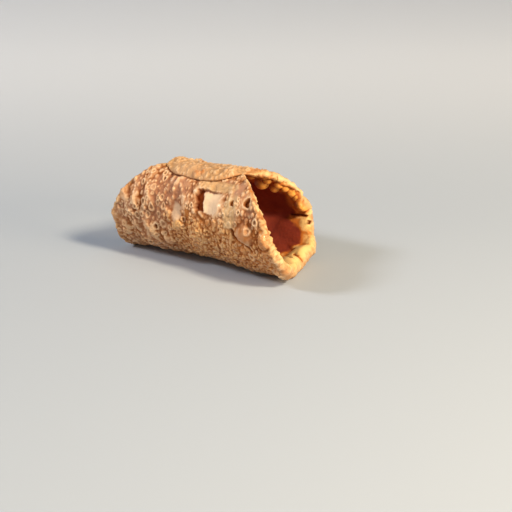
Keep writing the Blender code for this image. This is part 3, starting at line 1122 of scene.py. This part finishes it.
def buildShell():
    rows, columns = dough["cellsRound"], dough["cellsAlong"]
    bm = bmesh.new()
    bmesh.ops.create_grid(bm, x_segments=rows, y_segments=columns, size=1.0)
    slab = bmesh.ops.extrude_face_region(bm, geom=bm.faces[:])["geom"]
    top = [part for part in slab if isinstance(part, bmesh.types.BMVert)]
    bmesh.ops.translate(bm, verts=top, vec=(0.0, 0.0, 1.0))
    upright = [edge for edge in bm.edges if abs(edge.verts[0].co.z - edge.verts[1].co.z) > 0.5]
    bmesh.ops.subdivide_edges(bm, edges=upright, cuts=dough["rimCuts"], use_grid_fill=True)
    bmesh.ops.recalc_face_normals(bm, faces=bm.faces[:])
    mesh = bpy.data.meshes.new("pastryShell")
    bm.to_mesh(mesh)
    bm.free()

    flat = np.empty(len(mesh.vertices) * 3)
    mesh.vertices.foreach_get("co", flat)
    u, v, depth = flat.reshape(-1, 3).T
    angle, x, across, end, lump = onSheet(u, v, depth)
    points = sheetPoint(angle, x, across, end, lump, depth) * mm
    mesh.vertices.foreach_set("co", points.ravel())
    storePoints(mesh, "sheetAngle", angle)
    storePoints(mesh, "sheetX", x)
    storePoints(mesh, "sheetAcross", across)
    storePoints(mesh, "lump", lump)
    mesh.update()
    print(f"sheet rolled: {len(mesh.polygons)} faces, {time.time() - startTime:.1f} s")

    shell = bpy.data.objects.new("pastryShell", mesh)
    bpy.context.scene.collection.objects.link(shell)
    thin = shell.modifiers.new("fewerFaces", "DECIMATE")
    thin.ratio = dough["mostTriangles"] / (2.0 * len(mesh.polygons))
    seen = bpy.context.evaluated_depsgraph_get()
    finished = bpy.data.meshes.new_from_object(shell.evaluated_get(seen))
    shell.modifiers.clear()
    shell.data = finished
    bpy.data.meshes.remove(mesh)
    finished.name = "pastryShell"
    finished.shade_smooth()
    return shell


rimPaint = {
    "fade": 1.2,                          # the rim's own colour fades this far in
    "overLobe": 0.6,
    # the wall darkening in from the left mouth is partly painted shade
    "darkFromLeft": (2.5, 6.0),           # in from the left mouth the wall turns dark here
    "softness": (0.15, 0.35),             # of the dark wall's border, and more above the dome
    "softAngles": (42.0, 60.0),
}


def paintMarks(mesh):
    # colour marks are read again at the finished points, so that they stay crisp
    angle, x = readPoints(mesh, "sheetAngle"), readPoints(mesh, "sheetX")
    across = readPoints(mesh, "sheetAcross")
    for name in markNames:
        marks = readField(outside[name], angle, x) * across
        marks += readField(inside[name], angle, x) * (1.0 - across)
        storePoints(mesh, name, marks)

    toLeft, toRight = x + rimReach(angle, 1), rimReach(angle, 2) - x
    nearRim = np.exp(-np.minimum(toLeft, toRight) / rimPaint["fade"])
    lobe = readField(outside["lobe"], angle, x)
    storePoints(mesh, "nearRim", np.maximum(nearRim, rimPaint["overLobe"] * lobe * across))

    # the dark wall starts where the light crust of the lip ends; it is partly darker crust and partly
    # painted shade deeper in the tube
    light = lipAt(angle, 3) + readField(inside["darkBorder"], angle, x)
    least, more = rimPaint["softness"]
    soft = least + more * between(angle, *rimPaint["softAngles"])
    deepIn = between(toRight, light * (1.0 - soft), light * (1.0 + soft))
    deepIn *= between(toLeft, *rimPaint["darkFromLeft"])
    storePoints(mesh, "deepIn", deepIn * (1.0 - across))
    storePoints(mesh, "inside", 1.0 - across)


shell = buildShell()
paintMarks(shell.data)
print(f"shell: {len(shell.data.polygons)} faces, {time.time() - startTime:.1f} s")


# colours are linear, as seen in plain light
crustColours = {
    # valley to crest, and inner valley to inner skin: partly the crust's own browning, partly painted
    # shade in the hollows and painted light on the tops
    "valley": (0.205, 0.054, 0.011),
    "skin": (0.478, 0.232, 0.108),
    "crest": (0.740, 0.495, 0.310),
    # froth tint: partly the froth's own warmer colour, partly painted warm bounce light low on the
    # tube
    "frothTint": (1.0, 0.83, 0.53),
    "ring": (0.830, 0.600, 0.370),
    "gold": (0.480, 0.170, 0.038),
    "blush": (0.420, 0.210, 0.128),
    "straw": (0.660, 0.450, 0.230),
    # dark bottoms of deep holes, painted shade
    "pitShade": (0.200, 0.058, 0.017),
    "torn": (0.830, 0.600, 0.400),
    # burnt spots, and painted shade in cracks, creases, holes and under the tear's edges
    "burnAndShade": (0.170, 0.034, 0.008),
    "rim": (0.880, 0.640, 0.330),
    "rimValley": (0.400, 0.145, 0.042),
    "innerSkin": (0.920, 0.610, 0.245),
    "innerValley": (0.560, 0.190, 0.042),
    "amber": (0.930, 0.440, 0.095),
    "amberFoot": (0.420, 0.100, 0.024),
    # the orange glow is painted light, and the deep colours partly painted shade
    "glow": (0.600, 0.180, 0.034),
    "deep": (0.230, 0.039, 0.024),
    "deepCrest": (0.300, 0.050, 0.018),
}

# each pair is where one colour or finish gives way to the next as its value rises
crustRamps = {
    "skin": (0.05, 0.50),
    "crest": (0.50, 0.90),
    "aboveBlush": (0.40, 0.75),
    "rim": (-0.30, 0.25),
    "deepCrest": (0.0, 0.9),
    "innerSkin": (0.10, 0.55),
    "amber": (0.2, 1.0),
    "blister": (0.0, 0.3),
    "glow": (0.0, 0.50),
    "deep": (0.40, 1.0),
    "inside": (0.55, 1.0),
    "gloss": (0.30, 0.90),
    "glossyGold": (0.3, 1.0),
}

# how much of what lies under it a mark hides
markCover = {
    "straw": 0.6,
    "nearRim": 0.85,
    "gold": 0.9,
    "ring": 0.7,
    "torn": 1.0,
    "pitShade": 0.9,
    "burnAndShade": 1.0,
}

crustFinish = {
    "speckleSize": 700.0,
    "speckle": 0.45,
    "bubbleSize": 1100.0,
    "bubbleLevel": 0.45,
    "bubble": 0.8,
    "bubbleBump": 2.0,
    "blushSpread": (0.3, 0.7),            # everywhere, and more in the low places
    "dullness": (0.60, 0.22),             # roughness of the valleys and of the crests
    "innerRoughness": (0.32, 0.52),       # of the light crust and of the dark wall
    "specular": 0.55,
    "valleyShine": 0.25,                  # share of it that the valleys have
    "specularTint": (1.0, 0.82, 0.62),
    "frothShine": 0.7,                    # froth shines this much more
    "innerDulling": (0.55, 0.30),         # shine taken off inside, and more where no blister is
    "grainSize": 900.0,
    "grainDepth": 0.00022,
    "grainStrength": 0.8,
}


def addNode(tree, kind, **settings):
    node = tree.nodes.new(kind)
    for name, value in settings.items():
        setattr(node, name, value)
    return node


def feed(tree, socket, value):
    # a link, or a plain value on the socket itself
    if isinstance(value, bpy.types.NodeSocket):
        tree.links.new(value, socket)
    elif isinstance(value, tuple):
        socket.default_value = (*value, 1.0) if socket.type == "RGBA" else value
    else:
        socket.default_value = value


def mark(tree, name):
    return addNode(tree, "ShaderNodeAttribute", attribute_name=name).outputs["Fac"]


def blendColour(tree, amount, first, second, kind="MIX"):
    node = addNode(tree, "ShaderNodeMix", data_type="RGBA", blend_type=kind)
    feed(tree, node.inputs[0], amount)
    feed(tree, node.inputs[6], first)
    feed(tree, node.inputs[7], second)
    return node.outputs[2]


def calculate(tree, operation, first, second, clamp=False):
    node = addNode(tree, "ShaderNodeMath", operation=operation, use_clamp=clamp)
    feed(tree, node.inputs[0], first)
    feed(tree, node.inputs[1], second)
    return node.outputs[0]


def add(tree, first, second):
    return calculate(tree, "ADD", first, second)


def multiply(tree, first, second):
    return calculate(tree, "MULTIPLY", first, second)


def oneLess(tree, value):
    return calculate(tree, "SUBTRACT", 1.0, value)


def rampBetween(tree, value, low, high):
    node = addNode(tree, "ShaderNodeMapRange", interpolation_type="SMOOTHSTEP")
    feed(tree, node.inputs["Value"], value)
    feed(tree, node.inputs["From Min"], low)
    feed(tree, node.inputs["From Max"], high)
    return node.outputs["Result"]


def crustRamp(tree, value, name):
    return rampBetween(tree, value, *crustRamps[name])


def spreadOver(tree, value, low, high):
    # 0 becomes the low value and 1 the high one
    node = addNode(tree, "ShaderNodeMapRange")
    feed(tree, node.inputs["Value"], value)
    feed(tree, node.inputs["To Min"], low)
    feed(tree, node.inputs["To Max"], high)
    return node.outputs["Result"]


def noiseAt(tree, place, scale, detail=4.0):
    node = addNode(tree, "ShaderNodeTexNoise")
    feed(tree, node.inputs["Vector"], place)
    feed(tree, node.inputs["Scale"], scale)
    feed(tree, node.inputs["Detail"], detail)
    return node.outputs["Fac"]


def frothBubbles(tree, place):
    # bubbles too fine for the mesh, only where the dough is frothy
    cells = addNode(tree, "ShaderNodeTexVoronoi", feature="SMOOTH_F1")
    feed(tree, cells.inputs["Vector"], place)
    feed(tree, cells.inputs["Scale"], crustFinish["bubbleSize"])
    level = crustFinish["bubbleLevel"]
    bubble = calculate(tree, "SUBTRACT", level, cells.outputs["Distance"])
    return multiply(tree, bubble, mark(tree, "froth"))


def coverWith(tree, colour, name, top):
    amount = multiply(tree, mark(tree, name), markCover[name])
    return blendColour(tree, amount, colour, top)


def outerColour(tree, lift, speckle):
    c = crustColours
    colour = blendColour(tree, crustRamp(tree, lift, "skin"), c["valley"], c["skin"])
    colour = blendColour(tree, crustRamp(tree, lift, "crest"), colour, c["crest"])
    least, more = crustFinish["blushSpread"]
    low = oneLess(tree, crustRamp(tree, lift, "aboveBlush"))
    low = add(tree, multiply(tree, low, more), least)
    colour = blendColour(tree, multiply(tree, mark(tree, "blush"), low), colour, c["blush"])
    # the warmer froth tint is partly painted warm bounce light
    colour = blendColour(tree, mark(tree, "froth"), colour, c["frothTint"], "MULTIPLY")
    colour = coverWith(tree, colour, "straw", c["straw"])
    # the rim is lighter on its lumps and darker between them: partly its own colour, partly painted
    # light and shade
    raised = crustRamp(tree, add(tree, mark(tree, "lump"), speckle), "rim")
    rim = blendColour(tree, raised, c["rimValley"], c["rim"])
    colour = coverWith(tree, colour, "nearRim", rim)
    for name in ("gold", "ring", "torn"):
        colour = coverWith(tree, colour, name, c[name])
    return colour


def innerColour(tree, lift, crest, deepness):
    # light crust at the lip with amber blisters, an orange border of painted glow, then the dark wall,
    # partly painted shade
    c = crustColours
    gold = mark(tree, "gold")
    colour = blendColour(tree, crustRamp(tree, lift, "innerSkin"), c["innerValley"], c["innerSkin"])
    # the blisters run from a dark foot and dark seams to a lighter amber top: painted shade and
    # painted light
    blister = blendColour(tree, crustRamp(tree, gold, "amber"), c["amberFoot"], c["amber"])
    colour = blendColour(tree, crustRamp(tree, gold, "blister"), colour, blister)
    colour = blendColour(tree, crustRamp(tree, deepness, "glow"), colour, c["glow"])
    deep = blendColour(tree, crustRamp(tree, crest, "deepCrest"), c["deep"], c["deepCrest"])
    return blendColour(tree, crustRamp(tree, deepness, "deep"), colour, deep)


def crustRoughness(tree, gloss, deepness):
    node = addNode(tree, "ShaderNodeMix", data_type="FLOAT")
    feed(tree, node.inputs[0], mark(tree, "inside"))
    feed(tree, node.inputs[2], spreadOver(tree, gloss, *crustFinish["dullness"]))
    feed(tree, node.inputs[3], spreadOver(tree, deepness, *crustFinish["innerRoughness"]))
    return node.outputs[0]


def crustShine(tree, gloss):
    dulling, more = crustFinish["innerDulling"]
    plain = oneLess(tree, crustRamp(tree, mark(tree, "gold"), "glossyGold"))
    matt = add(tree, multiply(tree, plain, more), dulling)
    matt = multiply(tree, matt, mark(tree, "inside"))
    matt = calculate(tree, "MAXIMUM", matt, mark(tree, "burnAndShade"))
    least = crustFinish["valleyShine"]
    shine = add(tree, multiply(tree, gloss, 1.0 - least), least)
    shine = multiply(tree, shine, oneLess(tree, matt))
    shine = multiply(tree, shine, crustFinish["specular"])
    wetter = add(tree, multiply(tree, mark(tree, "froth"), crustFinish["frothShine"]), 1.0)
    return multiply(tree, shine, wetter)


def makeCrust():
    material = bpy.data.materials.new("friedCrust")
    material.use_nodes = True
    tree = material.node_tree
    tree.nodes.clear()
    output = addNode(tree, "ShaderNodeOutputMaterial")
    shader = addNode(tree, "ShaderNodeBsdfPrincipled")
    tree.links.new(shader.outputs[0], output.inputs[0])
    place = addNode(tree, "ShaderNodeTexCoord").outputs["Object"]

    # how high a point stands among its neighbours, with fine speckle and froth on it; the colour
    # follows it, so the tops and froth bubbles carry painted light and the hollows painted shade
    crest = mark(tree, "crest")
    fine = noiseAt(tree, place, crustFinish["speckleSize"])
    speckle = calculate(tree, "SUBTRACT", fine, 0.5)
    speckle = multiply(tree, speckle, crustFinish["speckle"])
    bubble = frothBubbles(tree, place)
    lift = add(tree, add(tree, crest, speckle), multiply(tree, bubble, crustFinish["bubble"]))

    deepness = multiply(tree, mark(tree, "deepIn"), oneLess(tree, mark(tree, "gold")))
    colour = outerColour(tree, lift, speckle)
    inner = innerColour(tree, lift, crest, deepness)
    colour = blendColour(tree, crustRamp(tree, mark(tree, "inside"), "inside"), colour, inner)
    for name in ("pitShade", "burnAndShade"):
        colour = coverWith(tree, colour, name, crustColours[name])
    feed(tree, shader.inputs["Base Color"], colour)

    gloss = crustRamp(tree, lift, "gloss")
    gloss = calculate(tree, "SUBTRACT", gloss, mark(tree, "burnAndShade"), clamp=True)
    feed(tree, shader.inputs["Roughness"], crustRoughness(tree, gloss, deepness))
    feed(tree, shader.inputs["Specular IOR Level"], crustShine(tree, gloss))
    feed(tree, shader.inputs["Specular Tint"], crustFinish["specularTint"])

    grain = noiseAt(tree, place, crustFinish["grainSize"])
    fineBubble = multiply(tree, bubble, crustFinish["bubbleBump"])
    bump = addNode(tree, "ShaderNodeBump")
    feed(tree, bump.inputs["Strength"], crustFinish["grainStrength"])
    feed(tree, bump.inputs["Distance"], crustFinish["grainDepth"])
    feed(tree, bump.inputs["Height"], add(tree, grain, fineBubble))
    feed(tree, shader.inputs["Normal"], bump.outputs[0])
    return material


shell.data.materials.append(makeCrust())
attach(shell, "root")
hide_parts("shell")

# a plain pale studio, in metres
studio = {
    "floorReach": 3.0,
    "backdropDistance": 0.9,
    "backdropHeight": 1.6,
    "bend": 0.5,
    "bendSteps": 12,
    "floorRoughness": 0.85,
    "floorColour": (0.430, 0.482, 0.560),
    # the backdrop is painted paler than the floor and glows, painted light
    "backdropColour": (0.72, 0.755, 0.81),
    "paintedBackLight": (0.02, 0.40),               # how far behind the shell it starts and ends to pale
    "glowStrength": 0.05,
    "skyColour": (0.96, 0.98, 1.0),
    "skyStrength": 0.20,
}

# sizes and distances are in metres, powers in watts
lights = {
    "key": {
        "azimuth": 80.0,
        "elevation": 42.0,
        "distance": 1.0,
        "size": 0.16,
        "power": 10.3,
        "colour": (1.0, 0.84, 0.60),
    },
    "fill": {
        "azimuth": -48.0,
        "elevation": 38.0,
        "distance": 1.5,
        "size": 0.28,
        "power": 11.0,
        "colour": (0.99, 0.98, 0.98),
    },
    "bounce": {
        "azimuth": 88.0,
        "elevation": 16.0,
        "distance": 0.8,
        "size": 0.24,
        "power": 3.6,
        "colour": (1.0, 0.74, 0.44),
    },
    "low": {
        "azimuth": -8.0,
        "elevation": 5.0,
        "distance": 1.2,
        "size": 0.30,
        "power": 2.1,
        "colour": (1.0, 0.64, 0.34),
    },
}


def floorMesh():
    # a sheet that lies flat, curves up behind and faces the camera
    bm = bmesh.new()
    half, height = studio["floorReach"], studio["backdropHeight"]
    corners = [bm.verts.new((side * half, -half, 0.0)) for side in (-1.0, 1.0)]
    strip = [bm.edges.new(corners)]
    bend, start = studio["bend"], studio["backdropDistance"]
    path = [(start, 0.0)]
    for i in range(1, studio["bendSteps"] + 1):
        turn = math.radians(90.0 * i / studio["bendSteps"])
        path.append((start + bend * math.sin(turn), bend * (1.0 - math.cos(turn))))
    path.append((start + bend, height))
    at = (-half, 0.0)
    for y, z in path:
        pulled = bmesh.ops.extrude_edge_only(bm, edges=strip)["geom"]
        verts = [part for part in pulled if isinstance(part, bmesh.types.BMVert)]
        strip = [part for part in pulled if isinstance(part, bmesh.types.BMEdge)]
        bmesh.ops.translate(bm, verts=verts, vec=(0.0, y - at[0], z - at[1]))
        at = (y, z)
    turned = Matrix.Rotation(math.radians(viewOfPhoto["azimuth"]), 3, "Z")
    bmesh.ops.rotate(bm, verts=bm.verts[:], cent=(0.0, 0.0, 0.0), matrix=turned)
    bmesh.ops.recalc_face_normals(bm, faces=bm.faces[:])
    mesh = bpy.data.meshes.new("paleFloor")
    bm.to_mesh(mesh)
    bm.free()
    mesh.shade_smooth()
    return mesh


def paleMaterial():
    # painted light: it pales and glows more with the distance behind the shell
    material = bpy.data.materials.new("paleFloor")
    material.use_nodes = True
    tree = material.node_tree
    shader = tree.nodes["Principled BSDF"]
    away = math.radians(viewOfPhoto["azimuth"])
    behind = addNode(tree, "ShaderNodeVectorMath", operation="DOT_PRODUCT")
    feed(tree, behind.inputs[0], addNode(tree, "ShaderNodeTexCoord").outputs["Object"])
    feed(tree, behind.inputs[1], (-math.sin(away), math.cos(away), 0.0))
    paintedBackLight = rampBetween(tree, behind.outputs["Value"], *studio["paintedBackLight"])
    colour = blendColour(tree, paintedBackLight, studio["floorColour"], studio["backdropColour"])
    feed(tree, shader.inputs["Base Color"], colour)
    feed(tree, shader.inputs["Emission Color"], colour)
    feed(tree, shader.inputs["Emission Strength"], multiply(tree, paintedBackLight, studio["glowStrength"]))
    feed(tree, shader.inputs["Roughness"], studio["floorRoughness"])
    return material


def makeFloor():
    floor = bpy.data.objects.new("paleFloor", floorMesh())
    bpy.context.scene.collection.objects.link(floor)
    floor.data.materials.append(paleMaterial())


# where the photo was taken from, and where in it the target appears
viewOfPhoto = {
    "azimuth": 36.4,
    "elevation": 18.2,
    "distance": 600.0,
    "lens": 106.1,
    "sensor": 36.0,
    "nearClip": 0.01,
    "target": (-1.73, 0.09, 20.95),
    "targetPixel": (220.8, 206.6),
    "pictureSize": 512.0,
}


def towards(azimuth, elevation):
    # 0 is straight in front of the shell's near side, and azimuth turns towards the right mouth
    turn, rise = math.radians(azimuth), math.radians(elevation)
    flat = math.cos(rise)
    return Vector((flat * math.sin(turn), -flat * math.cos(turn), math.sin(rise)))


def makeCamera():
    data = bpy.data.cameras.new("camera")
    data.lens = viewOfPhoto["lens"]
    data.sensor_width = viewOfPhoto["sensor"]
    data.clip_start = viewOfPhoto["nearClip"]
    camera = bpy.data.objects.new("camera", data)
    bpy.context.scene.collection.objects.link(camera)
    back = towards(viewOfPhoto["azimuth"], viewOfPhoto["elevation"])
    right = towards(viewOfPhoto["azimuth"] + 90.0, 0.0)
    up = back.cross(right)
    target = Vector(viewOfPhoto["target"])
    camera.location = (target + back * viewOfPhoto["distance"]) * mm
    # the camera aims beside the target, so that the target lands on its pixel
    pixel = data.sensor_width / data.lens * viewOfPhoto["distance"] / viewOfPhoto["pictureSize"]
    column, row = viewOfPhoto["targetPixel"]
    middle = viewOfPhoto["pictureSize"] / 2.0
    aim = target + right * (middle - column) * pixel - up * (middle - row) * pixel
    camera.rotation_euler = (aim * mm - camera.location).to_track_quat("-Z", "Y").to_euler()
    bpy.context.scene.camera = camera


def makeLight(name, settings):
    data = bpy.data.lights.new(name, "AREA")
    data.energy = settings["power"]
    data.size = settings["size"]
    data.color = settings["colour"]
    light = bpy.data.objects.new(name, data)
    bpy.context.scene.collection.objects.link(light)
    light.location = towards(settings["azimuth"], settings["elevation"]) * settings["distance"]
    light.rotation_euler = (-light.location).to_track_quat("-Z", "Y").to_euler()


def makeSky():
    world = bpy.data.worlds.new("studioSky")
    bpy.context.scene.world = world
    world.use_nodes = True
    background = world.node_tree.nodes["Background"]
    background.inputs["Color"].default_value = (*studio["skyColour"], 1.0)
    background.inputs["Strength"].default_value = studio["skyStrength"]


makeFloor()
makeCamera()
for name, settings in lights.items():
    makeLight(name, settings)
makeSky()
bpy.context.scene.view_settings.view_transform = "Standard"
print(f"studio ready, {time.time() - startTime:.1f} s")
